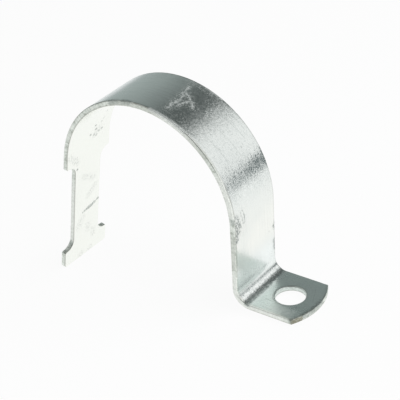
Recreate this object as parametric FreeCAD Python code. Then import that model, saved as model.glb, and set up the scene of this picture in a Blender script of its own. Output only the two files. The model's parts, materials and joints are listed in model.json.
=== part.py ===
import FreeCAD, Part
import math
import os

from FreeCAD import Vector

# A saddle clamp that holds a pipe down on a slotted channel, bent from one length of steel strip. Its hook
# leg ends in a T foot that catches behind the channel's lips, and its flange is bolted down beside the pipe.
# X runs from the hook leg to the flange, Y along the pipe, and Z up to the crown of the arch.
# The origin is on the pipe's axis, at the middle of the strip's width. Lengths in mm, angles in degrees.

# The strip
strip_width = 30.0
strip_thickness = 2.5
edge_round = 0.35

# The arch over the pipe, as it is before it is drawn down: the hook leg stands sprung outward
seat_radius = 44.5
hook_leg_splay = 11.0
flange_leg_lean = 2.0

# The hook leg, from the end of the arch down to the tip of its T foot
shoulder_length = 7.7
shoulder_corner_round = 0.8
neck_width = 18.0
notch_length = 48.4
notch_corner_radius = 4.8
foot_height = 9.2
foot_corner_round = 0.9
foot_tip_round = 1.3

# The flange leg, the bend below it and the flange that is bolted down
flange_leg_length = 30.9
bend_radius = 5.5
bend_to_hole = 11.7
bolt_hole_diameter = 13.5
hole_to_tip = 14.25
flange_end_radius = 28.0
flange_corner_round = 0.6

# How much of the notch's depth its corner may take, and of the step left beside it an outer corner may
notch_corner_share = 0.8
outer_corner_share = 0.8

# Faces that meet at a sharper turn than this have their edge eased
sharp_turn = 60.0

# Places that follow from the sizes above
half_width = strip_width / 2
outer_radius = seat_radius + strip_thickness
hook_angle = 180.0 - hook_leg_splay
flange_angle = -flange_leg_lean
notch_depth = half_width - neck_width / 2
corner_middle_share = 1 - math.cos(math.radians(45.0))
notch_corner = min(notch_corner_radius, notch_corner_share * notch_depth)
step_limit = outer_corner_share * (notch_depth - notch_corner)
notch_start = shoulder_length
notch_end = notch_start + notch_length
hook_leg_length = notch_end + foot_height
flange_length = bend_to_hole + hole_to_tip

across = Vector(0, strip_width, 0)
thickness_up = Vector(0, 0, strip_thickness)


def around(centre, angle, radius):
    """The point at an angle, from +X towards +Z, on a circle that lies across the pipe."""
    turn = math.radians(angle)
    return centre + Vector(radius * math.cos(turn), 0, radius * math.sin(turn))


def line(start, end):
    return Part.LineSegment(start, end).toShape()


def arc(start, middle, end):
    return Part.Arc(start, middle, end).toShape()


def arc_around(centre, radius, start_angle, end_angle):
    middle_angle = (start_angle + end_angle) / 2
    return arc(
        around(centre, start_angle, radius),
        around(centre, middle_angle, radius),
        around(centre, end_angle, radius),
    )


pipe_axis = Vector(0, 0, 0)
hook_outward = around(pipe_axis, hook_angle, 1.0)
hook_down = around(pipe_axis, hook_angle + 90.0, 1.0)
flange_outward = around(pipe_axis, flange_angle, 1.0)
flange_down = around(pipe_axis, flange_angle - 90.0, 1.0)
bend_centre = flange_outward * (outer_radius + bend_radius) + flange_down * flange_leg_length
bend_start_angle = flange_angle + 180.0
bend_end_angle = 270.0


def bent_stretch():
    """The arch, the flange leg and the bend: the strip's section along them, as wide as the strip."""
    under_bend_radius = bend_radius + strip_thickness
    arch_outside = arc_around(pipe_axis, outer_radius, hook_angle, flange_angle)
    arch_inside = arc_around(pipe_axis, seat_radius, flange_angle, hook_angle)
    bend_inside = arc_around(bend_centre, bend_radius, bend_start_angle, bend_end_angle)
    bend_outside = arc_around(bend_centre, under_bend_radius, bend_end_angle, bend_start_angle)
    leg_top_out = around(pipe_axis, flange_angle, outer_radius)
    leg_top_in = around(pipe_axis, flange_angle, seat_radius)
    leg_foot_out = around(bend_centre, bend_start_angle, bend_radius)
    leg_foot_in = around(bend_centre, bend_start_angle, under_bend_radius)
    flange_top = around(bend_centre, bend_end_angle, bend_radius)
    flange_under = around(bend_centre, bend_end_angle, under_bend_radius)
    hook_in = around(pipe_axis, hook_angle, seat_radius)
    hook_out = around(pipe_axis, hook_angle, outer_radius)
    outline = Part.Wire([
        arch_outside,
        line(leg_top_out, leg_foot_out),
        bend_inside,
        line(flange_top, flange_under),
        bend_outside,
        line(leg_foot_in, leg_top_in),
        arch_inside,
        line(hook_in, hook_out),
    ])
    section = Part.Face(outline)
    section.translate(Vector(0, -half_width, 0))
    return section.extrude(across)


def rounded_outline(corners):
    """A closed wire through right-angled corners, each a point and the radius that rounds it."""
    edges = []
    last_end = None
    first_start = None
    for index, (corner, radius) in enumerate(corners):
        before = corners[index - 1][0]
        after = corners[(index + 1) % len(corners)][0]
        to_before = (before - corner).normalize()
        to_after = (after - corner).normalize()
        start = corner + to_before * radius
        end = corner + to_after * radius
        if last_end is not None:
            edges.append(line(last_end, start))
        if radius > 0:
            middle = corner + (to_before + to_after) * (radius * corner_middle_share)
            edges.append(arc(start, middle, end))
        if first_start is None:
            first_start = start
        last_end = end
    edges.append(line(last_end, first_start))
    return Part.Wire(edges)


def hook_leg():
    """The flat leg below the arch: a shoulder, a neck between two notches, and the T foot."""
    leg_top = hook_outward * seat_radius
    half_neck = neck_width / 2
    shoulder_round = min(shoulder_corner_round, step_limit)
    foot_round = min(foot_corner_round, step_limit)
    one_side = [
        (0.0, half_width, 0.0),
        (notch_start, half_width, shoulder_round),
        (notch_start, half_neck, notch_corner),
        (notch_end, half_neck, notch_corner),
        (notch_end, half_width, foot_round),
        (hook_leg_length, half_width, foot_tip_round),
    ]
    other_side = [(down, -sideways, radius) for down, sideways, radius in reversed(one_side)]
    corners = []
    for down, sideways, radius in one_side + other_side:
        corners.append((leg_top + hook_down * down + Vector(0, sideways, 0), radius))
    return Part.Face(rounded_outline(corners)).extrude(hook_outward * strip_thickness)


def flange():
    """The flat flange: straight sides, a shallow curved end with eased corners, and the bolt hole."""
    start = around(bend_centre, bend_end_angle, bend_radius + strip_thickness)
    end_radius = max(flange_end_radius, half_width)
    end_centre = start + Vector(flange_length - end_radius, 0, 0)
    ease_out = half_width - flange_corner_round
    ease_reach = end_radius - flange_corner_round
    ease_along = math.sqrt(ease_reach ** 2 - ease_out ** 2)
    side_start = Vector(0, half_width, 0)
    side_end = Vector(ease_along, half_width, 0)
    ease_centre = Vector(ease_along, ease_out, 0)
    end_start = ease_centre * (end_radius / ease_reach)
    ease_middle = ease_centre + (side_end + end_start - ease_centre * 2).normalize() * flange_corner_round
    tip = Vector(end_radius, 0, 0)

    def mirrored(point):
        return Vector(point.x, -point.y, point.z)

    corner = [end_centre + point for point in (side_end, ease_middle, end_start)]
    other_corner = [end_centre + mirrored(point) for point in (end_start, ease_middle, side_end)]
    outline = Part.Wire([
        line(start + side_start, corner[0]),
        arc(*corner),
        arc(corner[-1], end_centre + tip, other_corner[0]),
        arc(*other_corner),
        line(other_corner[-1], start + mirrored(side_start)),
        line(start + mirrored(side_start), start + side_start),
    ])
    plate = Part.Face(outline).extrude(thickness_up)
    hole_centre = start + Vector(bend_to_hole, 0, 0)
    hole = Part.makeCylinder(bolt_hole_diameter / 2, strip_thickness, hole_centre, Vector(0, 0, 1))
    return plate.cut(hole)


def sharp_edges(solid):
    """The edges at which two faces meet squarely, which leaves out the joins that run on smoothly."""
    found = []
    least_cosine = math.cos(math.radians(sharp_turn))
    for edge in solid.Edges:
        sides = solid.ancestorsOfType(edge, Part.Face)
        if len(sides) < 2:
            continue
        middle = edge.valueAt((edge.FirstParameter + edge.LastParameter) / 2)
        normals = [face.normalAt(*face.Surface.parameter(middle)) for face in sides]
        if abs(normals[0].dot(normals[1])) < least_cosine:
            found.append(edge)
    return found


def strap():
    """The whole saddle as one solid, with the sheared edges eased all the way round."""
    blank = bent_stretch().fuse([hook_leg(), flange()]).removeSplitter()
    solid = blank.Solids[0]
    return solid.makeFillet(edge_round, sharp_edges(solid))


def main():
    os.makedirs("parts", exist_ok=True)
    clamp_strap = strap()
    clamp_strap.exportStep("parts/clamp_strap.step")
    box = clamp_strap.BoundBox
    print("solids", len(clamp_strap.Solids), "valid", clamp_strap.isValid())
    print("volume mm3", round(clamp_strap.Volume, 1))
    print("size", round(box.XLength, 2), round(box.YLength, 2), round(box.ZLength, 2))
    print("low corner", round(box.XMin, 2), round(box.YMin, 2), round(box.ZMin, 2))


main()
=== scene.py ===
import json
import math

import bpy
import numpy as np
from mathutils import Matrix, Vector, geometry, kdtree, noise


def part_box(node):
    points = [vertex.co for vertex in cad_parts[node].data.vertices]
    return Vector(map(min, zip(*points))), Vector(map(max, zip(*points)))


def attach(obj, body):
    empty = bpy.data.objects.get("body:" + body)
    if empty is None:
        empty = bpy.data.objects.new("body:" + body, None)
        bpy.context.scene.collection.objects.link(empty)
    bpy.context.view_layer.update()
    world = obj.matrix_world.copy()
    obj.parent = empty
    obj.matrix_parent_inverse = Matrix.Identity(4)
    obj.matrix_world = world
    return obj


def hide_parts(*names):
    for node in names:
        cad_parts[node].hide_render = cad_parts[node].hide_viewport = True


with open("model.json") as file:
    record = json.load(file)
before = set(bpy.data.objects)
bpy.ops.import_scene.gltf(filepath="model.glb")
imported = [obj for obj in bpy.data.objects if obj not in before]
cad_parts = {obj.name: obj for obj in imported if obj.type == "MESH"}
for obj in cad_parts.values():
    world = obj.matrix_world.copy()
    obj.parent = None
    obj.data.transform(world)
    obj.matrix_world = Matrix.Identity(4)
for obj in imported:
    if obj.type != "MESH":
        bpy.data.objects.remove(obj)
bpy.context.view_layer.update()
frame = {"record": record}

MM = 0.001
mounts = {mount["name"]: mount for mount in frame["record"]["mounts"]}
box_low, box_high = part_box("clamp_strap")

# Sizes read from the frame, in metres
seat_radius = mounts["pipe_seat"]["dims"]["r_mm"] * MM
hole_radius = mounts["bolt_hole"]["dims"]["r_mm"] * MM
hole_x = mounts["bolt_hole"]["pos_m"][0]
flange_underside = mounts["flange_seat"]["pos_m"][2]
strip_width = box_high.y - box_low.y
strip_thickness = box_high.z - seat_radius
flange_tip_x = box_high.x

# The rest of the strap's driving sizes, as in the CAD source
hook_leg_splay = math.radians(11.0)
flange_leg_lean = math.radians(2.0)
shoulder_length = 7.7 * MM
shoulder_corner_round = 0.8 * MM
neck_width = 18.0 * MM
notch_length = 48.4 * MM
notch_corner_radius = 4.8 * MM
foot_height = 9.2 * MM
foot_corner_round = 0.9 * MM
foot_tip_round = 1.3 * MM
bend_radius = 5.5 * MM
flange_end_radius = 28.0 * MM
flange_corner_round = 0.6 * MM

# Edges: the shear draws the outer face's edge down a little more than it turns the seat side's
outer_edge_inset = 0.46 * MM
outer_edge_drop = 0.4 * MM
seat_edge_inset = 0.35 * MM
seat_edge_drop = 0.35 * MM

# Mesh fineness, and how the faces' points keep clear of the rims
grid_step = 0.62 * MM
rim_step = 0.45 * MM
rim_share = 0.1
least_arc_steps = 3
edge_rings = 5
wall_rings = 6
support_gap = 0.1 * MM
grid_clearance = 0.6 * grid_step
nudge_share = 0.5
merge_distance = 1e-9

# Wear in the shape: waves in the faces, the outer face drawn in along its rim, and the sheared walls'
# unevenness, which is less in the hole, and their taper towards the seat side
wave_depth = 0.03 * MM
wave_size = 16 * MM
long_wave_share = 0.7
short_wave_share = 0.3
sag_depth = 0.06 * MM
sag_width = 1.5 * MM
shear_depth = 0.03 * MM
shear_size = 0.9 * MM
shear_stretch = (1, 1, 0.4)
hole_shear_share = 0.2
hole_edge_reach = 0.9 * MM
shear_taper = 0.08 * MM
taper_start = 0.6 * strip_thickness
taper_height = 0.5 * strip_thickness

# Nicks on the outer face's edges: the place along and across the strip, the radius and the depth, in mm
nick_power = 1.5
edge_nicks = [
    (216.0, 15.0, 1.0, 0.25), (224.0, 15.0, 1.4, 0.35), (226.8, 15.0, 1.1, 0.25),
    (118.0, -15.0, 1.6, 0.12), (171.0, -15.0, 1.2, 0.12), (203.0, -15.0, 1.5, 0.15),
    (252.0, -15.0, 1.2, 0.12), (93.0, 15.0, 1.3, 0.15), (160.0, 15.0, 1.2, 0.1), (34.0, -9.0, 1.1, 0.12),
    (21.0, 9.0, 1.0, 0.1), (4.0, 15.0, 1.2, 0.2), (263.0, 15.0, 1.3, 0.15),
]

# Marks on the plating, as places along and across the strip in mm. Pale ones on the outer face: veins and
# clouds of chalk, and rubbed stretches of rim.
chalk_veins = [
    ((140.8, -9.5), (140.5, -4.5), (141.0, -1.0), (140.5, 2.5), (139.0, 4.0), (139.2, 6.5), (138.5, 9.5)),
    ((139.2, 6.0), (142.2, 4.0), (144.8, 2.0), (148.0, -0.5)),
    ((142.5, -4.5), (144.2, 0.5), (144.6, 1.5)),
]
chalk_clouds = [
    ((138.2, 7.0), (137.0, 14.0)), ((136.0, 13.5), (151.0, 13.8)), ((139.8, 2.0), (140.5, 6.0)),
    ((154.5, 1.0), (154.5, 12.0)), ((158.0, 0.0), (158.5, 12.0)), ((180.0, -12.5), (187.0, -11.5)),
    ((255.5, -11.0), (262.5, -10.5)),
]
rubbed_rims = [((136.0, -14.8), (154.0, -14.8)), ((144.0, 14.6), (152.0, 14.6))]

# Dark marks on the outer face: a scraped patch and the ring beside it, faint smudges, dots, fine scratches,
# and curved ones as a middle and a radius. The flange has a patch of coarser grain.
scrapes = [
    ((196.5, -13.0), (200.0, -11.6)), ((200.0, -11.4), (203.2, -10.7)), ((203.0, -11.2), (208.2, -13.5)),
    ((199.5, -13.2), (206.0, -13.6)), ((201.0, -12.2), (205.5, -12.4)),
]
ring_ends = ((196.4, -8.9), (200.8, -7.9))
smudges = [((110.0, 13.0), (135.0, 13.0)), ((190.0, -10.0), (204.0, -10.0)), ((187.0, -2.0), (191.0, 12.0))]
outer_dots = [(216.4, 10.5), (157.5, -3.0), (168.0, -6.5), (172.5, 5.0), (163.0, 1.5), (175.5, -9.0)]
long_scratches = [
    ((106.5, -13.0), (107.5, 2.0)), ((108.5, -12.0), (109.5, 6.0)), ((111.0, -4.0), (110.0, 12.0)),
    ((152.0, 10.4), (168.0, 12.4)), ((150.0, 5.5), (171.0, 9.5)), ((156.0, -1.0), (176.0, 2.5)),
    ((160.0, -8.0), (178.0, -6.0)), ((247.5, -12.6), (262.0, -13.2)), ((247.0, -7.0), (254.0, -8.4)),
    ((246.5, -9.0), (251.0, -4.0)), ((262.5, 9.0), (266.0, 1.0)),
]
swirls = [(170.5, -2.5, 2.6), (172.0, -2.0, 4.4)]
flange_grain = ((258.0, -11.5), (264.0, -11.0))

# Dark marks on the seat side of the hook leg: scratches, scuffs and specks
seat_scratches = [((29.5, 8.5), (27.2, -3.0)), ((28.2, 6.0), (26.9, -2.0))]
seat_scuffs = [
    ((39.0, 5.5), (35.2, 0.5)), ((64.0, -13.0), (59.0, -8.0)), ((17.5, 1.0), (14.5, 1.2)),
    ((12.0, 5.0), (9.5, 5.2)), ((69.0, 3.5), (71.5, 6.5)), ((44.0, 4.0), (48.0, -3.0)),
    ((24.0, -3.0), (20.0, -6.0)), ((1.2, -4.2), (2.0, -3.4)), ((1.0, 2.2), (1.6, 3.2)),
]
seat_specks = [
    (70.2, 0.5), (71.8, 4.0), (69.5, 6.5), (69.8, 8.5), (67.8, 5.0), (74.2, 3.0), (68.6, 3.2), (54.8, -8.0),
]
faint_specks = [(74.5, 7.5), (76.2, 8.5), (80.8, 9.0), (59.5, -10.0), (61.5, -8.5)]

# Along the rims: grime, the stain on the flange's near corner, and stretches, from one place along to another
# at a place across, where the painted shade along the rim is darker or lighter and the wall duller or paler
grime = [
    ((114.5, -14.6), (118.0, -14.8)), ((121.5, -14.6), (125.0, -14.8)), ((110.0, 15.4), (137.0, 15.4)),
    ((267.4, -9.4), (268.2, -6.0)), ((268.2, -6.0), (268.8, -2.0)), ((268.8, -2.0), (268.8, 3.0)),
    ((215.6, 14.2), (216.6, 14.6)), ((223.4, 14.3), (224.4, 14.7)), ((226.3, 14.4), (227.3, 14.7)),
    ((197.6, -15.0), (198.6, -15.0)), ((265.0, -15.0), (266.0, -15.0)),
]
darker_shade_stretches = [
    (84, 94, -15), (104, 131, -15), (200, 208, -15), (186, 206, -15), (115, 148, 15), (216, 227, 15),
]
lighter_shade_stretches = [(139, 156, -15), (252, 266, -15)]
dull_walls = [(121, 136, -15), (160, 164, -15), (211, 218, -15)]
pale_walls = [(142, 156, -15), (182, 192, -15), (230, 256, -15), (16, 42, -9), (16, 42, 9)]
stain_ends = ((265.8, -14.2), (267.3, -11.4))

# How wide the broad marks are: how far from its line each is full, and where it ends, in mm
broad_widths = {
    "grain": (1.0, 5.0),
    "rubbed": (0.2, 1.3),
    "halo": (0.0, 3.2),
    "darker": (1.4, 6.0),
    "lighter": (1.0, 6.0),
    "scrape": (0.3, 2.0),
    "smudge": (1.0, 7.0),
    "scuff": (0.0, 3.0),
    "grime": (0.4, 1.9),
    "dull": (2.0, 9.0),
    "pale": (2.0, 8.0),
}
flange_grain_strength = 0.6
smudge_strength = 0.14

# Stretches of the strip that differ from the rest, as places along it in mm: where each starts, is full, is
# still full and ends. The bend has a painted highlight with pits in it, a faint painted dark reflection line
# at its top, and painted dark reflection lines across it, which start and end earlier towards the far side.
scuffed_arch = (132, 145, 184, 200)
warm_leg = (188, 206, 214, 226)
bluish_leg = (216, 230, 234, 237)
pitted_highlit_bend = (235, 237.5, 242, 246)
bend_top_line = (235.2, 236.0, 237.2, 238.2)
bend_top_strength = 0.28
dark_reflection_rise = (240.4, 241.6)
dark_reflection_fall = (244.5, 243.0)
dark_reflection_rise_shift = 1.4
dark_reflection_fall_shift = 2.8
flange_rise = (240, 246)

# Heights on the walls at which the outer face and the grime begin, the strip's far side, and how far from
# the hole's middle its wall ends, in mm
outer_rise = (0.9, 1.6)
grime_rise = (0.3, 1.2)
far_side = (2, 10)
hole_fade = (8.0, 7.4)

# Places along the strip that follow from the sizes
half_width = strip_width / 2
outer_radius = seat_radius + strip_thickness
middle_radius = seat_radius + strip_thickness / 2
hook_angle = math.pi - hook_leg_splay
flange_angle = -flange_leg_lean
notch_end_up = foot_height
notch_start_up = foot_height + notch_length
hook_leg_length = notch_start_up + shoulder_length
arch_length = middle_radius * (hook_angle - flange_angle)
bend_start_angle = flange_angle + math.pi
bend_end_angle = 1.5 * math.pi
bend_middle_radius = bend_radius + strip_thickness / 2
bend_length = bend_middle_radius * (bend_end_angle - bend_start_angle)


def direction(angle):
    """The unit vector at an angle from +X towards +Z, as x and z, or one for each of many angles."""
    return np.stack([np.cos(angle), np.sin(angle)], -1)


hook_outward = direction(hook_angle)
hook_down = direction(hook_angle + math.pi / 2)
flange_outward = direction(flange_angle)
flange_down = direction(flange_angle - math.pi / 2)
bend_centre_z = flange_underside + strip_thickness + bend_radius
bend_offset = flange_outward * (outer_radius + bend_radius)
flange_leg_length = (bend_centre_z - bend_offset[1]) / flange_down[1]
bend_centre = bend_offset + flange_down * flange_leg_length
flange_length = flange_tip_x - bend_centre[0]
hole_along = hole_x - bend_centre[0]

arch_start = hook_leg_length
leg_start = arch_start + arch_length
bend_start = leg_start + flange_leg_length
flange_start = bend_start + bend_length
strip_length = flange_start + flange_length
hole_centre = np.array([flange_start + hole_along, 0.0])


def on_strap(along, across, up):
    """Bends flat strip into the strap: along from the foot's tip, across, and up from the seat side."""
    radius = seat_radius + up
    hook = hook_outward * radius[..., None] + hook_down * (hook_leg_length - along)[..., None]
    turn = hook_angle - (along - arch_start) / middle_radius
    arch = direction(turn) * radius[..., None]
    leg = flange_outward * radius[..., None] + flange_down * (along - leg_start)[..., None]
    bend_reach = bend_radius + strip_thickness - up
    bend_turn = bend_start_angle + (along - bend_start) / bend_middle_radius
    bend = bend_centre + direction(bend_turn) * bend_reach[..., None]
    flat = bend_centre + np.stack([along - flange_start, -bend_reach], -1)
    place = hook.copy()
    for start, shape in ((arch_start, arch), (leg_start, leg), (bend_start, bend), (flange_start, flat)):
        place[along >= start] = shape[along >= start]
    return np.stack([place[..., 0], across, place[..., 1]], -1)


def arc_points(centre, radius, start, end, step):
    """Points on an arc, and the way out of its circle at each."""
    count = max(least_arc_steps, int(math.ceil(abs(end - start) * radius / step)))
    around = direction(np.linspace(start, end, count + 1))
    return centre + around * radius, around


def blank_outline():
    """The flat blank's rim, counter-clockwise, as points and outward normals."""
    points = []
    normals = []

    def add(place, outward):
        points.extend(place)
        normals.extend(outward)

    def corner(centre, radius, start, end, hollow=False):
        place, outward = arc_points(np.array(centre), radius, start, end, min(rim_step, radius / 4))
        add(place, -outward if hollow else outward)

    def run(start, end, outward):
        start, end = np.array(start), np.array(end)
        count = max(1, int(math.ceil(np.linalg.norm(end - start) / rim_step)))
        steps = np.linspace(0, 1, count + 1)[1:-1]
        add(start + (end - start) * steps[:, None], [np.array(outward, float)] * len(steps))

    quarter = math.pi / 2
    half_neck = neck_width / 2
    low = -half_width
    tip, foot, notch, shoulder = foot_tip_round, foot_corner_round, notch_corner_radius, shoulder_corner_round
    end_centre = strip_length - flange_end_radius
    ease_out = half_width - flange_corner_round
    ease_reach = flange_end_radius - flange_corner_round
    ease_along = end_centre + math.sqrt(ease_reach ** 2 - ease_out ** 2)
    ease_turn = math.atan2(ease_out, ease_along - end_centre)

    # The -Y side, from the foot's tip to the flange
    corner((tip, low + tip), tip, -2 * quarter, -quarter)
    run((tip, low), (notch_end_up - foot, low), (0, -1))
    corner((notch_end_up - foot, low + foot), foot, -quarter, 0)
    run((notch_end_up, low + foot), (notch_end_up, -half_neck - notch), (1, 0))
    corner((notch_end_up + notch, -half_neck - notch), notch, 2 * quarter, quarter, hollow=True)
    run((notch_end_up + notch, -half_neck), (notch_start_up - notch, -half_neck), (0, -1))
    corner((notch_start_up - notch, -half_neck - notch), notch, quarter, 0, hollow=True)
    run((notch_start_up, -half_neck - notch), (notch_start_up, low + shoulder), (-1, 0))
    corner((notch_start_up + shoulder, low + shoulder), shoulder, 2 * quarter, 3 * quarter)
    run((notch_start_up + shoulder, low), (ease_along, low), (0, -1))
    corner((ease_along, -ease_out), flange_corner_round, -quarter, -ease_turn)

    # The flange's curved end
    end_middle = np.array([end_centre, 0.0])
    place, outward = arc_points(end_middle, flange_end_radius, -ease_turn, ease_turn, rim_step)
    add(place[1:-1], outward[1:-1])

    # The +Y side is the mirror image of the -Y side
    near_count = len(points) - len(place) + 2
    for index in range(near_count - 1, -1, -1):
        points.append(points[index] * (1, -1))
        normals.append(normals[index] * (1, -1))

    # The foot's bottom closes the rim
    run(points[-1], points[0], (-1, 0))
    return np.array(points), np.array(normals)


def hole_outline():
    """The bolt hole's rim, clockwise, with normals out of the metal."""
    count = int(math.ceil(2 * math.pi * hole_radius / rim_step))
    around = direction(-np.arange(count) * 2 * math.pi / count)
    return hole_centre + around * hole_radius, -around


def half_width_at(along):
    """Half the blank's width at places along it."""
    from_end = np.minimum(along - notch_end_up, notch_start_up - along)
    sink = np.clip(notch_corner_radius - from_end, 0, notch_corner_radius)
    fillet = notch_corner_radius - np.sqrt(notch_corner_radius ** 2 - sink ** 2)
    wide = np.where(from_end > 0, neck_width / 2 + fillet, half_width)
    beyond = np.maximum(along - (strip_length - flange_end_radius), 0)
    end_half = np.sqrt(np.maximum(flange_end_radius ** 2 - beyond ** 2, 0))
    return np.minimum(wide, end_half)


def inner_grid(margin):
    """Staggered points inside the blank, clear of every rim by the margin."""
    rows = []
    row_height = grid_step * math.sqrt(0.75)
    row_count = int(strip_length / row_height)
    for index in range(1, row_count):
        shift = (index % 2) * grid_step / 2
        along = index * strip_length / row_count
        across = np.arange(-half_width, half_width, grid_step) + shift
        rows.append(np.stack([np.full_like(across, along), across], -1))
    points = np.concatenate(rows)
    along, across = points[:, 0], np.abs(points[:, 1])
    keep = (along > margin) & (across < half_width_at(along) - margin)
    for nudge in (-margin, margin):
        keep &= across < half_width_at(along + nudge) - margin * nudge_share
    keep &= np.linalg.norm(points - hole_centre, axis=1) > hole_radius + margin
    keep &= along < strip_length - margin
    return points[keep]


def inside_rings(points, rings):
    """Whether each point lies within the outer ring and outside the hole's."""
    x, y = points.T
    inside = np.zeros(len(points), bool)
    for ring in rings:
        for (x0, y0), (x1, y1) in zip(ring, np.roll(ring, -1, axis=0)):
            if y0 != y1:
                crossed = (y0 > y) != (y1 > y)
                inside ^= crossed & (x < x0 + (y - y0) * (x1 - x0) / (y1 - y0))
    return inside


def fill_face(rims, normals, inset):
    """Triangles between the rims, drawn in by the inset. The rim points come first."""
    rings = [rim - normal * inset for rim, normal in zip(rims, normals)]
    edges = []
    start = 0
    for ring in rings:
        count = len(ring)
        edges += [(start + i, start + (i + 1) % count) for i in range(count)]
        start += count
    points = np.concatenate(rings + [inner_grid(inset + grid_clearance)])
    made = geometry.delaunay_2d_cdt([Vector(point) for point in points], edges, [], 0, merge_distance)
    triangles = np.array(made[2])
    return points, triangles[inside_rings(points[triangles].mean(axis=1), rings)]


def edge_profile():
    """How far each ring between the faces is drawn in, how high it is, and its share of edge."""
    rings = []

    def eased(step, inset, drop):
        share = step / edge_rings
        turn = share * math.pi / 2
        return inset * (1 - math.sin(turn)), drop * (1 - math.cos(turn)), share

    for step in range(edge_rings + 1):
        inset, drop, share = eased(step, outer_edge_inset, outer_edge_drop)
        rings.append((inset, strip_thickness - drop, share))
    wall_top = strip_thickness - outer_edge_drop
    for step in range(1, wall_rings):
        rings.append((0.0, wall_top + (seat_edge_drop - wall_top) * step / wall_rings, 1.0))
    for step in range(edge_rings, -1, -1):
        rings.append(eased(step, seat_edge_inset, seat_edge_drop))
    return rings


def strap_mesh():
    """The flat strap's mesh: places, outward rim normals, shares of edge, and faces."""
    rims, normals = zip(blank_outline(), hole_outline())
    all_rims, all_normals = np.concatenate(rims), np.concatenate(normals)
    rim_points = len(all_rims)
    top, top_triangles = fill_face(rims, normals, outer_edge_inset + support_gap)
    bottom, bottom_triangles = fill_face(rims, normals, seat_edge_inset + support_gap)
    count = len(top) + len(bottom)
    flat = [np.column_stack([top, np.full(len(top), strip_thickness)])]
    flat.append(np.column_stack([bottom, np.zeros(len(bottom))]))
    outward = [np.zeros((count, 2))]
    edge = [np.zeros(count)]
    faces = [tuple(corners) for corners in top_triangles]
    faces += [tuple(corners[::-1] + len(top)) for corners in bottom_triangles]
    ring_ids = [np.arange(rim_points)]
    for inset, height, share in edge_profile():
        ring = all_rims - all_normals * inset
        flat.append(np.column_stack([ring, np.full(rim_points, height)]))
        outward.append(all_normals)
        edge.append(np.full(rim_points, share))
        ring_ids.append(np.arange(rim_points) + count)
        count += rim_points
    ring_ids.append(np.arange(rim_points) + len(top))
    start = 0
    for rim in rims:
        size = len(rim)
        for upper, lower in zip(ring_ids, ring_ids[1:]):
            for i in range(size):
                j = (i + 1) % size
                faces.append((upper[start + i], lower[start + i], lower[start + j], upper[start + j]))
        start += size
    return np.concatenate(flat), np.concatenate(outward), np.concatenate(edge), faces


def noise_at(points, size, seed):
    """Smooth noise between about -1 and 1 at each point, with features of about the given size."""
    shift = Vector((seed * 7.3, seed * 3.1, seed * 5.7))
    return np.array([noise.noise(Vector(point) / size + shift) for point in points.tolist()])


def distance_to_rims(points):
    """How far each flat place is from the nearest rim."""
    dense = []
    for rim in (blank_outline()[0], hole_outline()[0]):
        ahead = np.roll(rim, -1, axis=0)
        for step in np.arange(0, 1, rim_share):
            dense.append(rim + (ahead - rim) * step)
    dense = np.concatenate(dense).tolist()
    tree = kdtree.KDTree(len(dense))
    for index, point in enumerate(dense):
        tree.insert((*point, 0), index)
    tree.balance()
    return np.array([tree.find((*point, 0))[2] for point in points.tolist()])


def wear(strip, outward, edge, rim):
    """Waves in the faces, the drawn-in rim, uneven sheared walls and nicks along the edges."""
    worn = strip.copy()
    along_across = strip * (1, 1, 0)
    long_waves = noise_at(along_across, wave_size, 1)
    short_waves = noise_at(along_across, wave_size / 2, 2)
    worn[:, 2] -= wave_depth * (1 + (long_wave_share * long_waves + short_wave_share * short_waves))
    outer_side = np.clip(strip[:, 2] / strip_thickness * 2 - 1, 0, 1)
    worn[:, 2] -= sag_depth * np.clip(1 - rim / sag_width, 0, 1) ** 2 * outer_side
    on_edge = edge > 0
    spots = strip[on_edge]
    share = edge[on_edge]
    from_hole = np.linalg.norm(spots[:, :2] - hole_centre, axis=1)
    torn = np.where(from_hole < hole_radius + hole_edge_reach, hole_shear_share, 1.0)
    cut = shear_depth * (1 + noise_at(spots * shear_stretch, shear_size, 3)) * share * torn
    lean = np.clip((taper_start - spots[:, 2]) / taper_height, 0, 1)
    cut += shear_taper * lean * share
    for along, across, radius, depth in edge_nicks:
        distance = np.linalg.norm(spots - (along * MM, across * MM, strip_thickness), axis=1)
        cut += depth * MM * np.clip(1 - distance / (radius * MM), 0, 1) ** nick_power
    worn[on_edge, :2] -= outward[on_edge] * cut[:, None]
    return worn


def smooth(value, low, high):
    """Runs smoothly from 0 where the value is low to 1 where it is high."""
    share = np.clip((value - low) / (high - low), 0, 1)
    return share * share * (3 - 2 * share)


def stretch(value, start, full, still_full, end):
    """1 along a stretch, with a smooth rise and fall at its ends."""
    return smooth(value, start, full) * smooth(value, end, still_full)


def near_lines(places, lines, core, reach):
    """1 at places within the core of any of the lines, and 0 beyond the reach."""
    nearest = np.full(len(places), np.inf)
    for start, end in lines:
        start, run = np.array(start), np.subtract(end, start)
        share = np.clip((places - start) @ run / (run @ run), 0, 1)
        nearest = np.minimum(nearest, np.linalg.norm(places - start - share[:, None] * run, axis=1))
    return smooth(nearest, reach, core)


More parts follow.
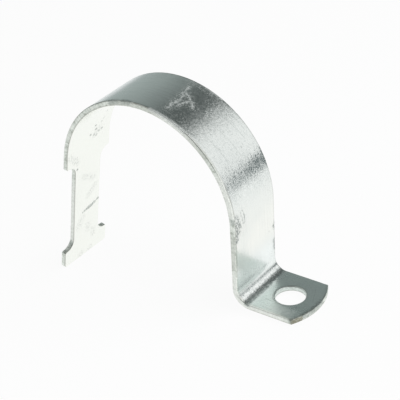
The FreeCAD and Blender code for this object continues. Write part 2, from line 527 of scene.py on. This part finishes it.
def broad_masks(strip):
    """Where the surface differs over more than a few mm: each mask's value at every vertex."""
    places = strip[:, :2] / MM
    along, across = places.T
    up = strip[:, 2] / MM
    outer = smooth(up, *outer_rise)
    far = smooth(across, *far_side)

    def drawn(mark, lines):
        return near_lines(places, lines, *broad_widths[mark])

    def beside(mark, stretches):
        lines = [((start, across_at), (end, across_at)) for start, end, across_at in stretches]
        return drawn(mark, lines)

    grainy = flange_grain_strength * drawn("grain", [flange_grain])
    smudged = smudge_strength * drawn("smudge", smudges)
    # Painted reflection: dark lines across the bend, and a fainter one at its top
    dark_reflection_start = smooth(along + dark_reflection_rise_shift * far, *dark_reflection_rise)
    dark_reflection_end = smooth(along + dark_reflection_fall_shift * far, *dark_reflection_fall)
    bend_top = bend_top_strength * stretch(along, *bend_top_line)
    chalky = [(line[0], line[-1]) for line in chalk_veins] + chalk_clouds
    return {
        "scuffed": np.maximum(stretch(along, *scuffed_arch), grainy) * outer,
        # The bend: painted highlight, with pits
        "bent": stretch(along, *pitted_highlit_bend) * outer,
        "rubbed": drawn("rubbed", rubbed_rims) * outer,
        "halo": drawn("halo", chalky) * outer,
        # Painted shade along the rims: the stretches where it is darker or lighter
        "darker": beside("darker", darker_shade_stretches),
        "lighter": beside("lighter", lighter_shade_stretches),
        "scraped": np.maximum(drawn("scrape", scrapes), smudged) * outer,
        "scuffs": drawn("scuff", seat_scuffs) * (1 - outer),
        "grimy": drawn("grime", grime) * smooth(up, *grime_rise),
        "bend_dark_reflection": (dark_reflection_start * dark_reflection_end + bend_top) * outer,
        "dull": beside("dull", dull_walls),
        "pale": beside("pale", pale_walls),
        "bluish": stretch(along, *bluish_leg),
        "flange": smooth(along, *flange_rise),
        "warm": stretch(along, *warm_leg),
        "in_hole": smooth(np.linalg.norm(places - hole_centre / MM, axis=1), *hole_fade),
        "outer": outer,
    }


def add_object(name, data):
    made = bpy.data.objects.new(name, data)
    bpy.context.scene.collection.objects.link(made)
    return made


def make_strap():
    strip, outward, edge, faces = strap_mesh()
    rim = distance_to_rims(strip[:, :2])
    worn = wear(strip, outward, edge, rim)
    places = on_strap(worn[:, 0], worn[:, 1], worn[:, 2])
    mesh = bpy.data.meshes.new("steel_strap")
    mesh.from_pydata(places.tolist(), [], [tuple(int(i) for i in face) for face in faces])
    mesh.update()
    mesh.attributes.new("strip", "FLOAT_VECTOR", "POINT").data.foreach_set("vector", strip.ravel())
    for name, mask in {"edge": edge, "rim": rim / MM, **broad_masks(strip)}.items():
        mesh.attributes.new(name, "FLOAT", "POINT").data.foreach_set("value", mask)
    mesh.polygons.foreach_set("use_smooth", [True] * len(mesh.polygons))
    return add_object("steel_strap", mesh)


# The camera stands where the photograph's did. Its azimuth is from -Y towards +X, in degrees.
camera_azimuth = 38.913
camera_elevation = 31.441
camera_roll = math.radians(5.320)
camera_distance = 0.6065
aim_right = 14.760 * MM
aim_down = 7.319 * MM
focal_pixels = 1372.4
picture_pixels = 400
sensor_mm = 36.0


def compass(azimuth, elevation=0.0):
    """The unit vector at an azimuth from +X towards +Y and an elevation, in degrees."""
    around, above = math.radians(azimuth), math.radians(elevation)
    return (math.cos(around) * math.cos(above), math.sin(around) * math.cos(above), math.sin(above))


def make_camera():
    back = Vector(compass(camera_azimuth - 90, camera_elevation))
    level_right = Vector(compass(camera_azimuth))
    level_up = back.cross(level_right)
    right = math.cos(camera_roll) * level_right - math.sin(camera_roll) * level_up
    up = math.sin(camera_roll) * level_right + math.cos(camera_roll) * level_up
    data = bpy.data.cameras.new("camera")
    data.sensor_width = sensor_mm
    data.lens = focal_pixels / picture_pixels * sensor_mm
    camera = add_object("camera", data)
    place = back * camera_distance + right * aim_right - up * aim_down
    turn = Matrix((right, up, back)).transposed().to_4x4()
    camera.matrix_world = Matrix.Translation(place) @ turn
    bpy.context.scene.camera = camera


make_camera()
strap = make_strap()
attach(strap, "root")
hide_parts("clamp_strap")


class Nodes:
    """Short calls that add shader nodes. Numbers, colours and other nodes' outputs go in alike."""

    def __init__(self, tree):
        self.tree = tree
        self.links = tree.links
        tree.nodes.clear()

    def add(self, kind, inputs=(), **settings):
        node = self.tree.nodes.new("ShaderNode" + kind)
        for name, value in settings.items():
            setattr(node, name, value)
        pairs = inputs.items() if isinstance(inputs, dict) else enumerate(inputs)
        for key, value in pairs:
            if isinstance(value, bpy.types.NodeSocket):
                self.links.new(value, node.inputs[key])
            else:
                node.inputs[key].default_value = value
        return node

    def math(self, operation, *values, clamp=False):
        return self.add("Math", values, operation=operation, use_clamp=clamp).outputs[0]

    def vector(self, operation, *values, output=0):
        return self.add("VectorMath", values, operation=operation).outputs[output]

    def scaled(self, vector, share):
        return self.add("VectorMath", {0: vector, "Scale": share}, operation="SCALE").outputs[0]

    def dot(self, first, second):
        return self.vector("DOT_PRODUCT", first, second, output=1)

    def without(self, value):
        """What is left of 1 beside the value."""
        return self.math("SUBTRACT", 1.0, value)

    def ramp(self, value, low, high, at_low=0.0, at_high=1.0):
        """Runs smoothly from at_low, where the value is low, to at_high, where it is high."""
        inputs = {"Value": value, "From Min": low, "From Max": high, "To Min": at_low, "To Max": at_high}
        return self.add("MapRange", inputs, interpolation_type="SMOOTHSTEP").outputs[0]

    def mix(self, share, first, second):
        """A blend of two colours, whose sockets come after those for numbers and vectors."""
        return self.add("Mix", {0: share, 6: first, 7: second}, data_type="RGBA").outputs[2]

    def noise(self, place, size, detail=2.0, roughness=0.5):
        """Noise about 0.5, with features of about the given size."""
        inputs = {"Vector": place, "Scale": 1 / size, "Detail": detail, "Roughness": roughness}
        return self.add("TexNoise", inputs).outputs[0]

    def streak(self, flat, start, end, core, reach):
        """1 along the line between two places, out to the core, and 0 beyond the reach."""
        start, end = Vector((*start, 0)), Vector((*end, 0))
        run = end - start
        offset = self.vector("SUBTRACT", flat, tuple(start))
        share = self.math("MULTIPLY", self.dot(offset, tuple(run)), 1 / run.length_squared, clamp=True)
        foot = self.scaled(tuple(run), share)
        return self.ramp(self.vector("DISTANCE", offset, foot, output=1), reach, core)

    def fold(self, operation, values):
        """Joins values as they are made, which keeps few of them waiting in the shader."""
        values = iter(values)
        whole = next(values)
        for value in values:
            whole = self.math(operation, whole, value)
        return whole

    def plus(self, *values):
        return self.fold("ADD", values)

    def times(self, *values):
        return self.fold("MULTIPLY", values)

    def any_of(self, masks):
        return self.fold("MAXIMUM", masks)


def new_material(name, kind=Nodes):
    material = bpy.data.materials.new(name)
    material.use_nodes = True
    return material, kind(material.node_tree)


def grey(level):
    return (level, level, level, 1)


def floor_line():
    """The height and slope of the floor, on which the foot's tip and the flange's end rest."""
    foot_corner = hook_outward * seat_radius + hook_down * hook_leg_length
    foot_centre = foot_corner + (hook_outward - hook_down) * seat_edge_inset
    end_centre = np.array([flange_tip_x - seat_edge_inset, flange_underside + seat_edge_inset])
    run, rise = end_centre - foot_centre
    slope = math.atan2(rise, run)
    normal = np.array([-math.sin(slope), math.cos(slope)])
    return float(foot_centre @ normal) - seat_edge_inset, slope


# The floor: pale paper that is shown nearly evenly bright and still takes the strap's shadow
floor_offset, floor_slope = floor_line()
floor_up = Vector((-math.sin(floor_slope), 0, math.cos(floor_slope)))
floor_size = 6.0
floor_glow = 0.93
paper_level = 0.9


def make_floor():
    mesh = bpy.data.meshes.new("floor")
    half = floor_size / 2
    corners = [(-half, -half, 0), (half, -half, 0), (half, half, 0), (-half, half, 0)]
    mesh.from_pydata(corners, [], [(0, 1, 2, 3)])
    floor = add_object("floor", mesh)
    floor.rotation_euler = (0, -floor_slope, 0)
    floor.location = floor_up * floor_offset
    paper, nodes = new_material("paper")
    path = nodes.add("LightPath").outputs
    seen = nodes.any_of(path[kind] for kind in ("Is Camera Ray", "Is Glossy Ray", "Is Transmission Ray"))
    lit = nodes.add("BsdfDiffuse", {"Color": grey(paper_level)}).outputs[0]
    glow = nodes.add("Emission", {"Color": grey(1.0), "Strength": 1.0}).outputs[0]
    share = nodes.math("MULTIPLY", seen, floor_glow)
    surface = nodes.add("MixShader", (share, lit, glow)).outputs[0]
    nodes.add("OutputMaterial", {"Surface": surface})
    mesh.materials.append(paper)


# The studio that the metal reflects: walls that darken from the floor up, with a duller and a brighter spot
# and a dark front, a tall soft key on the right and a weaker panel on the left. Each fades in between two
# cosines from its direction.
unlit_fade = (0.1, 0.9)
unlit_levels = (0.42, 0.145)
unlit_tint = (0.885, 1.0, 0.985, 1)
duller_spot = (compass(84, 50), (0.85, 1.0), 0.6)
brighter_spot = (compass(126, 36), (0.9, 1.0), 1.15)
front_spot = (compass(-60, 30), (0.80, 0.95), 0.12)
key_level = 0.93
key_back_edge = (compass(-18), (-0.155, 0.262))
key_front_edge = (compass(60), (-0.15, 0.15))
key_top_fade = (0.80, 0.95)
key_top_share = 0.35
left_panel = (compass(195, 45), (0.75, 0.95), 0.8)
left_level = 0.9


def make_world():
    world = bpy.data.worlds.new("studio")
    bpy.context.scene.world = world
    world.use_nodes = True
    nodes = Nodes(world.node_tree)
    toward = nodes.add("TexCoord").outputs["Generated"]
    height = nodes.dot(toward, tuple(floor_up))

    def fade(middle, cosines, at_low=0.0, at_high=1.0):
        return nodes.ramp(nodes.dot(toward, middle), *cosines, at_low, at_high)

    unlit = nodes.ramp(height, *unlit_fade, *unlit_levels)
    for middle, cosines, share in (duller_spot, brighter_spot):
        unlit = nodes.math("MULTIPLY", unlit, fade(middle, cosines, 1.0, share))
    unlit = nodes.mix(unlit, grey(0.0), unlit_tint)
    front, front_cosines, front_level = front_spot
    unlit = nodes.mix(fade(front, front_cosines), unlit, grey(front_level))
    top_edge = nodes.ramp(height, *key_top_fade, 1.0, key_top_share)
    key = nodes.times(fade(*key_back_edge), fade(*key_front_edge), top_edge)
    left, left_cosines, left_share = left_panel
    studio = nodes.mix(key, unlit, grey(key_level))
    studio = nodes.mix(fade(left, left_cosines, 0.0, left_share), studio, grey(left_level))
    seen = nodes.add("LightPath").outputs["Is Camera Ray"]
    light = nodes.add("Background", {"Color": nodes.mix(seen, studio, grey(1.0)), "Strength": 1.0}).outputs[0]
    nodes.add("OutputWorld", {"Surface": light})


# A large soft lamp above gives the floor its light and the strap's shadow, and isn't reflected
lamp_toward = Vector(compass(15, 60))
lamp_distance = 0.9
lamp_size = 0.9
lamp_watts = 4.5


def make_lamp():
    data = bpy.data.lights.new("lamp", "AREA")
    data.shape = "DISK"
    data.size = lamp_size
    data.energy = lamp_watts
    lamp = add_object("lamp", data)
    lamp.location = lamp_toward * lamp_distance
    lamp.rotation_euler = lamp_toward.to_track_quat("Z", "Y").to_euler()
    lamp.visible_glossy = False


# Cards that only reflections show: each one's azimuth and distance, where it starts and ends sideways, its
# height, and its brightness at the floor and at the top
cards = [
    ("bar", 44, 0.350, -0.038, 0.221, 0.071, 0.12, 0.0),
    ("bar_end", 44, 0.350, -0.158, -0.038, 0.030, 0.5, 0.4),
    ("back_card", 138, 0.40, -0.25, 0.25, 0.09, 0.98, 0.56),
]
card_tint = (0.0, 0.3, 0.36, 1)
card_tint_share = 0.1


def make_card(name, azimuth, distance, start, end, height, low_glow, high_glow):
    mesh = bpy.data.meshes.new(name)
    middle = Vector(compass(azimuth)) * distance
    run = Vector(compass(azimuth + 90))
    corners = []
    for along, up in ((start, 0), (end, 0), (end, height), (start, height)):
        place = middle + run * along
        floor_z = (floor_offset - place.x * floor_up.x) / floor_up.z
        corners.append((place.x, place.y, floor_z + up))
    mesh.from_pydata(corners, [], [(0, 1, 2, 3)])
    card = add_object(name, mesh)
    card.visible_camera = card.visible_diffuse = card.visible_shadow = False
    cloth, nodes = new_material(name)
    up = nodes.add("SeparateXYZ", (nodes.add("TexCoord").outputs["Generated"],)).outputs[2]
    level = nodes.mix(up, grey(low_glow), grey(high_glow))
    level = nodes.mix(card_tint_share, level, card_tint)
    glow = nodes.add("Emission", {"Color": level, "Strength": 1.0}).outputs[0]
    nodes.add("OutputMaterial", {"Surface": glow})
    mesh.materials.append(cloth)


make_floor()
make_world()
make_lamp()
for card in cards:
    make_card(*card)

# Noise in the zinc plate: the size of its features in mm
sway_size = 2.2
patch_size = 9
facet_size = 0.4
mote_size = 0.55
crumb_size = 0.9
line_size = 0.5
rim_shade_break_size = 2.5
cloud_size = 14
streak_size = 1.1
blotch_size = 1.7
peel_size = 1.0
torn_size = 0.8

# How noise is stretched for the two faces, lines, scratches, the breaks in the painted rim shade, walls and
# tears
faces_apart = (1, 1, 12)
line_stretch = (0.02, 1, 1)
scratch_stretch = (0.06, 1, 1)
rim_shade_stretch = (1, 0.3, 0)
wall_stretch = (1, 1, 0.35)
torn_stretch = (2.2, 2.2, 0.4)

# Marks waver by up to about half the sway, in mm, with the second direction's noise from another place
mark_sway = (2.2, 2.2, 0.0)
second_noise = (31.0, 17.0, 5.0)

# Random scratches: each layer's turn in degrees and its size in mm, and the noise levels of one
scratch_layers = ((25, 1.0), (-40, 1.3), (80, 1.1), (-8, 0.9))
scratch_levels = (0.74, 0.80)

# How patches of the plate differ: the noise levels, and the strength of grain and of dust at each
grain_patches = (0.45, 0.75, 0.12, 0.5)
dust_patches = (0.3, 0.6, 0.5, 1.0)
facet_tilt = 0.085
bent_facet_tilt = 0.08

# How the marks break up into crumbs of about a mm: the noise levels, and the strength at each
crumbling = {
    "vein": (0.36, 0.58, 0.28, 0.68),
    "rubbed": (0.3, 0.6, 0.35, 0.9),
    "ring": (0.4, 0.6, 0.3, 0.8),
    "scrape": (0.42, 0.58, 0.18, 0.95),
    "fine": (0.34, 0.6, 0.08, 0.4),
    "grime": (0.38, 0.6, 0.2, 0.9),
    "bend_dark_reflection": (0.35, 0.6, 0.45, 1.0),
    "cut": (0.35, 0.6, 0.35, 0.9),
    "scuff": (0.42, 0.68, 0.03, 0.4),
    "speck": (0.35, 0.6, 0.4, 1.0),
    "stain": (0.42, 0.54, 0.3, 1.0),
}

# The same for what breaks up into finer motes
dusting = {
    "dust": (0.5, 0.64, 0.0, 1.0),
    "vein": (0.35, 0.6, 0.65, 1.0),
    "halo": (0.42, 0.64, 0.05, 0.36),
    "sand": (0.5, 0.37, 0.0, 0.4),
    "pits": (0.42, 0.6, 0.0, 1.0),
}

# Marks drawn as lines: how far from its line each is full, and where it ends, in mm
line_widths = {
    "vein": (0.0, 0.9),
    "ring": (0.8, 1.6),
    "ring_hollow": (0.2, 0.9),
    "dot": (0.05, 0.5),
    "fine": (0.0, 0.28),
    "cut": (0.1, 0.75),
    "speck": (0.15, 0.85),
    "faint_speck": (0.1, 0.7),
    "stain": (0.9, 1.9),
}
dot_length = (0.5, 0.0)
speck_length = (0.2, 0.3)
faint_speck_length = (0.3, 0.4)
swirl_width = (0.3, 0.0, 0.0, 0.35)
dot_strength = 0.4
dust_strength = 0.24
faint_speck_strength = 0.35

# The rim, with painted shade: a dark line along the outer face's rims, which on the near side, past the
# crown, lies off the wall behind a burnished band, and the walls darker towards the seat side.
# Distances are in mm, and edge is the share of the way round from the face to the wall.
band_across = (2.0, -4.0)
band_along = (145, 170)
band_shift = 0.45
band_fade = (0.5, 0.2)
rim_shade_fade = (1.15, 0.35)
rim_shade_edge = (0.95, 0.6)
rim_shade_breaks = (0.3, 0.6, 0.45, 1.0)
rim_shade_strength = 0.38
darker_rim_shade = 0.46
lighter_rim_shade = -0.22
# Painted shade: the walls darker towards the seat side, more along the hook and on the flange
seat_shade_edge = (0.1, 0.5)
seat_shade_height = (0.75, 0.3)
seat_shade_along = (130, 110, 0.12, 0.5)
flange_seat_shade = 0.35
wall_edge = (0.3, 0.9)

# Colours of the plate, and the noise levels and strength at which some of them come in
zinc_colour = (0.87, 0.905, 0.88, 1)
bluish_colour = (0.95, 1.0, 0.985, 1)
flange_colour = (0.80, 0.88, 0.845, 1)
warm_colour = (0.93, 0.945, 0.90, 1)
cloud_colour = (0.82, 0.86, 0.84, 1)
cloud_levels = (0.35, 0.7, 0.0, 0.4)
brushed_colour = (0.62, 0.66, 0.64, 1)
brushed_levels = (0.42, 0.62, 0.0, 0.2)
brushed_along = (170, 135, 0.35, 1.0)
sand_colour = (0.50, 0.55, 0.54, 1)
flange_sand = 0.75
bluish_sand = 0.4
# Painted highlight: the bend's bright band, with darker pits in it
bend_highlight_colour = (0.97, 1.0, 0.985, 1)
pit_colour = (0.74, 0.785, 0.765, 1)
inside_colour = (0.955, 0.975, 0.925, 1)
inside_cloud_colour = (0.80, 0.84, 0.78, 1)
inside_levels = (0.45, 0.75, 0.0, 0.3)
wall_colour = (0.915, 0.955, 0.90, 1)
wall_streak_colour = (0.63, 0.675, 0.62, 1)
wall_streak_levels = (0.3, 0.7)
blotch_colour = (0.45, 0.485, 0.43, 1)
blotch_levels = (0.53, 0.66, 0.0, 0.75)
pale_wall_colour = (0.95, 0.965, 0.93, 1)
pale_wall_share = 0.52
dull_wall_colour = (0.60, 0.62, 0.57, 1)
dull_wall_share = 0.45
hole_wall_colour = (0.88, 0.95, 0.91, 1)
hole_crumb_colour = (0.50, 0.55, 0.52, 1)
hole_levels = (0.42, 0.56)
rim_shade_colour = (0.33, 0.33, 0.29, 1)
chalk_colour = (0.80, 0.83, 0.82, 1)
chalk_share = 0.52
dark_colour = (0.21, 0.25, 0.24, 1)
dark_share = 0.75
stain_colour = (0.17, 0.15, 0.075, 1)
stain_share = 0.9

# Roughness over the clouds, what masks and marks add, and the least on the walls
cloud_roughness = (0.3, 0.7, 0.15, 0.21)
line_roughness = 0.08
scratch_roughness = 0.1
mark_roughness = 0.3
scuffed_roughness = 0.01
bluish_roughness = 0.07
bent_roughness = -0.05
flange_roughness = 0.11
wall_roughness = 0.45

# How much of the metal chalk and the sheared wall hide
chalk_cover = 0.45
wall_cover = 0.12

# Relief in mm
peel_relief = 0.02
line_relief = 0.005
torn_relief = 0.05
mote_relief = 0.014


class ZincPlate(Nodes):
    """The zinc plate's shader, with what several parts of the look share."""

    def __init__(self, tree):
        super().__init__(tree)
        strip = self.add("Attribute", attribute_name="strip").outputs["Vector"]
        self.edge, self.outer = self.mask("edge"), self.mask("outer")
        self.scuffed, self.bent = self.mask("scuffed"), self.mask("bent")
        self.place = self.vector("MULTIPLY", strip, (1 / MM, 1 / MM, 1 / MM))
        self.along, self.across, self.up = self.add("SeparateXYZ", (self.place,)).outputs
        self.apart = self.vector("MULTIPLY", self.place, faces_apart)
        self.level = self.vector("MULTIPLY", self.place, (1, 1, 0))
        sway = self.noise(self.place, sway_size, detail=3.0)
        swing = self.noise(self.vector("ADD", self.place, second_noise), sway_size, detail=3.0)
        shake = self.add("CombineXYZ", (sway, swing, 0.0)).outputs[0]
        shake = self.vector("SUBTRACT", shake, (0.5, 0.5, 0.0))
        self.flat = self.vector("ADD", self.level, self.vector("MULTIPLY", shake, mark_sway))
        self.patches = self.noise(self.apart, patch_size)
        self.motes = self.noise(self.apart, mote_size, roughness=0.7)
        self.crumbs = self.noise(self.apart, crumb_size, detail=3.0, roughness=0.6)
        self.lines = self.noise(self.vector("MULTIPLY", self.apart, line_stretch), line_size, detail=3.0)
        self.clouds = self.noise(self.apart, cloud_size, detail=3.0)

    def mask(self, name):
        return self.add("Attribute", attribute_name=name).outputs["Fac"]

    def crumbled(self, mark, whole):
        """A mark broken up into crumbs."""
        return self.times(whole, self.ramp(self.crumbs, *crumbling[mark]))

    def dusted(self, mark):
        return self.ramp(self.motes, *dusting[mark])

    def drawn(self, mark, lines, flat=None):
        """A mark along each of the lines, wavering unless given the level places."""
        flat = self.flat if flat is None else flat
        return self.any_of(self.streak(flat, *ends, *line_widths[mark]) for ends in lines)

    def spotted(self, mark, spots, length):
        """A mark at each of the spots, drawn out by the length."""
        return self.drawn(mark, [((a, b), (a + length[0], b + length[1])) for a, b in spots])

    def facing(self):
        """The surface's direction, tilted in small facets."""
        grain = self.any_of([self.scuffed, self.bent, self.ramp(self.patches, *grain_patches)])
        facets = self.add("TexVoronoi", {"Vector": self.apart, "Scale": 1 / facet_size}).outputs["Color"]
        tilt = self.vector("SUBTRACT", facets, (0.5, 0.5, 0.5))
        tilt_size = self.plus(self.times(grain, facet_tilt), self.times(self.bent, bent_facet_tilt))
        normal = self.add("NewGeometry").outputs["Normal"]
        return self.vector("NORMALIZE", self.vector("ADD", normal, self.scaled(tilt, tilt_size)))

    def scratches(self):
        """Fine random scratches in the gloss."""
        def layer(turn, size):
            turned = self.add("VectorRotate", {"Vector": self.apart, "Angle": math.radians(turn)}).outputs[0]
            thin = self.noise(self.vector("MULTIPLY", turned, scratch_stretch), size, detail=1.0)
            return self.ramp(thin, *scratch_levels)

        return self.any_of(layer(*settings) for settings in scratch_layers)

    def chalk(self):
        """Pale marks: veins with their halo, dust, and rubbed stretches of rim."""
        steps = [ends for line in chalk_veins for ends in zip(line, line[1:])]
        veins = self.crumbled("vein", self.drawn("vein", steps))
        veins = self.times(veins, self.dusted("vein"), self.outer)
        dust = self.times(self.dusted("dust"), self.ramp(self.patches, *dust_patches), self.scuffed)
        chalk = self.plus(veins, self.times(self.mask("halo"), self.dusted("halo")))
        chalk = self.math("ADD", chalk, self.times(dust, dust_strength), clamp=True)
        return self.math("MAXIMUM", chalk, self.crumbled("rubbed", self.mask("rubbed")))

    def outer_marks(self):
        """Dark marks on the outer face, and the painted dark reflection lines across the bend."""
        ring = self.math("SUBTRACT", self.drawn("ring", [ring_ends]), self.drawn("ring_hollow", [ring_ends]))
        ring = self.crumbled("ring", ring)
        scraped = self.crumbled("scrape", self.mask("scraped"))
        dots = self.times(self.spotted("dot", outer_dots, dot_length), dot_strength)
        fine = self.drawn("fine", long_scratches, self.level)
        for *middle, radius in swirls:
            from_middle = self.vector("DISTANCE", self.level, (*middle, 0), output=1)
            from_swirl = self.math("ABSOLUTE", self.math("SUBTRACT", from_middle, radius))
            fine = self.math("MAXIMUM", fine, self.ramp(from_swirl, *swirl_width))
        fine = self.crumbled("fine", fine)
        # Painted reflection: the dark lines across the bend
        bend_dark_reflection = self.crumbled("bend_dark_reflection", self.mask("bend_dark_reflection"))
        return self.times(self.any_of([ring, scraped, dots, fine, bend_dark_reflection]), self.outer)

    def seat_marks(self):
        """Dark marks on the seat side."""
        cuts = self.crumbled("cut", self.drawn("cut", seat_scratches))
        scuffs = self.crumbled("scuff", self.mask("scuffs"))
        specks = self.crumbled("speck", self.spotted("speck", seat_specks, speck_length))
        faint = self.spotted("faint_speck", faint_specks, faint_speck_length)
        specks = self.math("MAXIMUM", specks, self.times(faint, faint_speck_strength))
        return self.times(self.any_of([cuts, scuffs, specks]), self.without(self.outer))

    def dark(self):
        """All dark marks, with the painted dark reflection lines across the bend."""
        grime = self.crumbled("grime", self.mask("grimy"))
        return self.any_of([self.outer_marks(), self.seat_marks(), grime])

    def rim(self):
        """The burnished band, and the painted shade: a dark line along the outer face's rims and the walls
        darker towards the seat side.
        """
        near = self.times(self.ramp(self.across, *band_across), self.ramp(self.along, *band_along))
        from_rim = self.math("SUBTRACT", self.mask("rim"), self.times(near, band_shift))
        band = self.times(self.ramp(from_rim, *band_fade), near, self.outer)
        # Painted shade: a dark line along the outer face's rims, darker or lighter by stretch, broken up and
        # kept off the burnished band
        darker = self.times(self.mask("darker"), darker_rim_shade)
        lighter = self.times(self.mask("lighter"), lighter_rim_shade)
        strength = self.plus(darker, lighter, rim_shade_strength)
        breaks = self.noise(self.vector("MULTIPLY", self.place, rim_shade_stretch), rim_shade_break_size, detail=3.0)
        rim_shade = self.times(self.ramp(from_rim, *rim_shade_fade), self.ramp(self.edge, *rim_shade_edge), self.outer)
        rim_shade = self.times(rim_shade, self.without(band), strength, self.ramp(breaks, *rim_shade_breaks))
        # Painted shade: the walls darker towards the seat side
        flange_share = self.times(self.mask("flange"), flange_seat_shade)
        seat_shade_strength = self.plus(self.ramp(self.along, *seat_shade_along), flange_share)
        seat_shade = self.times(self.ramp(self.edge, *seat_shade_edge), self.ramp(self.up, *seat_shade_height), seat_shade_strength)
        return band, self.math("MAXIMUM", rim_shade, seat_shade)

    def faces(self):
        """The colour of the outer face and of the inside."""
        face = self.mix(self.mask("bluish"), zinc_colour, bluish_colour)
        face = self.mix(self.mask("flange"), face, flange_colour)
        face = self.mix(self.mask("warm"), face, warm_colour)
        face = self.mix(self.ramp(self.clouds, *cloud_levels), face, cloud_colour)
        brushed = self.times(self.ramp(self.lines, *brushed_levels), self.ramp(self.along, *brushed_along))
        face = self.mix(brushed, face, brushed_colour)
        flange_share = self.times(self.mask("flange"), flange_sand)
        bluish_share = self.times(self.mask("bluish"), bluish_sand)
        sandy = self.any_of([self.scuffed, flange_share, bluish_share])
        face = self.mix(self.times(sandy, self.dusted("sand")), face, sand_colour)
        # Painted highlight: the bend's band is brighter, with darker pits in it
        face = self.mix(self.bent, face, self.mix(self.dusted("pits"), bend_highlight_colour, pit_colour))
        inside = self.mix(self.ramp(self.crumbs, *inside_levels), inside_colour, inside_cloud_colour)
        return self.mix(self.outer, inside, face)

    def walls(self):
        """The colour of the sheared walls and of the hole's."""
        streaks = self.vector("MULTIPLY", self.place, wall_stretch)
        streaks = self.noise(streaks, streak_size, detail=4.0, roughness=0.7)
        blotches = self.noise(self.place, blotch_size, detail=3.0)
        wall = self.mix(self.ramp(streaks, *wall_streak_levels), wall_streak_colour, wall_colour)
        wall = self.mix(self.ramp(blotches, *blotch_levels), wall, blotch_colour)
        wall = self.mix(self.times(self.mask("pale"), pale_wall_share), wall, pale_wall_colour)
        wall = self.mix(self.times(self.mask("dull"), dull_wall_share), wall, dull_wall_colour)
        hole_wall = self.mix(self.ramp(self.crumbs, *hole_levels), hole_crumb_colour, hole_wall_colour)
        return self.mix(self.mask("in_hole"), wall, hole_wall)

    def colour(self, chalk, dark):
        """The faces and walls with the painted shade along the rims, the marks and the stain over them."""
        band, rim_shade = self.rim()
        stain = self.crumbled("stain", self.times(self.drawn("stain", [stain_ends]), self.edge))
        on_wall = self.math("MAXIMUM", self.ramp(self.edge, *wall_edge), band)
        colour = self.mix(on_wall, self.faces(), self.walls())
        # Painted shade along the rims and towards the walls' seat side
        colour = self.mix(rim_shade, colour, rim_shade_colour)
        colour = self.mix(self.times(chalk, chalk_share), colour, chalk_colour)
        colour = self.mix(self.times(dark, dark_share), colour, dark_colour)
        return self.mix(self.times(stain, stain_share), colour, stain_colour)

    def roughness(self, chalk, dark):
        rough = self.plus(
            self.ramp(self.clouds, *cloud_roughness),
            self.times(self.math("SUBTRACT", self.lines, 0.5), line_roughness),
            self.times(self.scratches(), scratch_roughness),
            self.times(self.math("MAXIMUM", chalk, dark), mark_roughness),
            self.times(self.scuffed, scuffed_roughness),
            self.times(self.mask("bluish"), bluish_roughness),
            self.times(self.bent, bent_roughness),
            self.times(self.mask("flange"), self.without(self.bent), flange_roughness),
        )
        return self.math("MAXIMUM", rough, self.times(self.edge, wall_roughness), clamp=True)

    def relief(self):
        peel = self.noise(self.apart, peel_size)
        torn = self.noise(self.vector("MULTIPLY", self.place, torn_stretch), torn_size, detail=3.0)
        return self.plus(
            self.times(peel, peel_relief),
            self.times(self.lines, line_relief),
            self.times(torn, self.edge, torn_relief),
            self.times(self.motes, mote_relief),
        )


def make_zinc():
    zinc, plate = new_material("zinc_plate", ZincPlate)
    chalk = plate.chalk()
    dark = plate.dark()
    hidden = plate.plus(
        plate.times(chalk, chalk_cover),
        plate.times(plate.ramp(plate.edge, *wall_edge), wall_cover),
    )
    bump = {"Strength": 1.0, "Distance": MM, "Height": plate.relief(), "Normal": plate.facing()}
    surface = plate.add("BsdfPrincipled", {
        "Base Color": plate.colour(chalk, dark),
        "Roughness": plate.roughness(chalk, dark),
        "Metallic": plate.math("SUBTRACT", 1.0, hidden, clamp=True),
        "Normal": plate.add("Bump", bump).outputs[0],
    })
    plate.add("OutputMaterial", {"Surface": surface.outputs[0]})
    return zinc


strap.data.materials.append(make_zinc())
bpy.context.scene.view_settings.view_transform = "Standard"
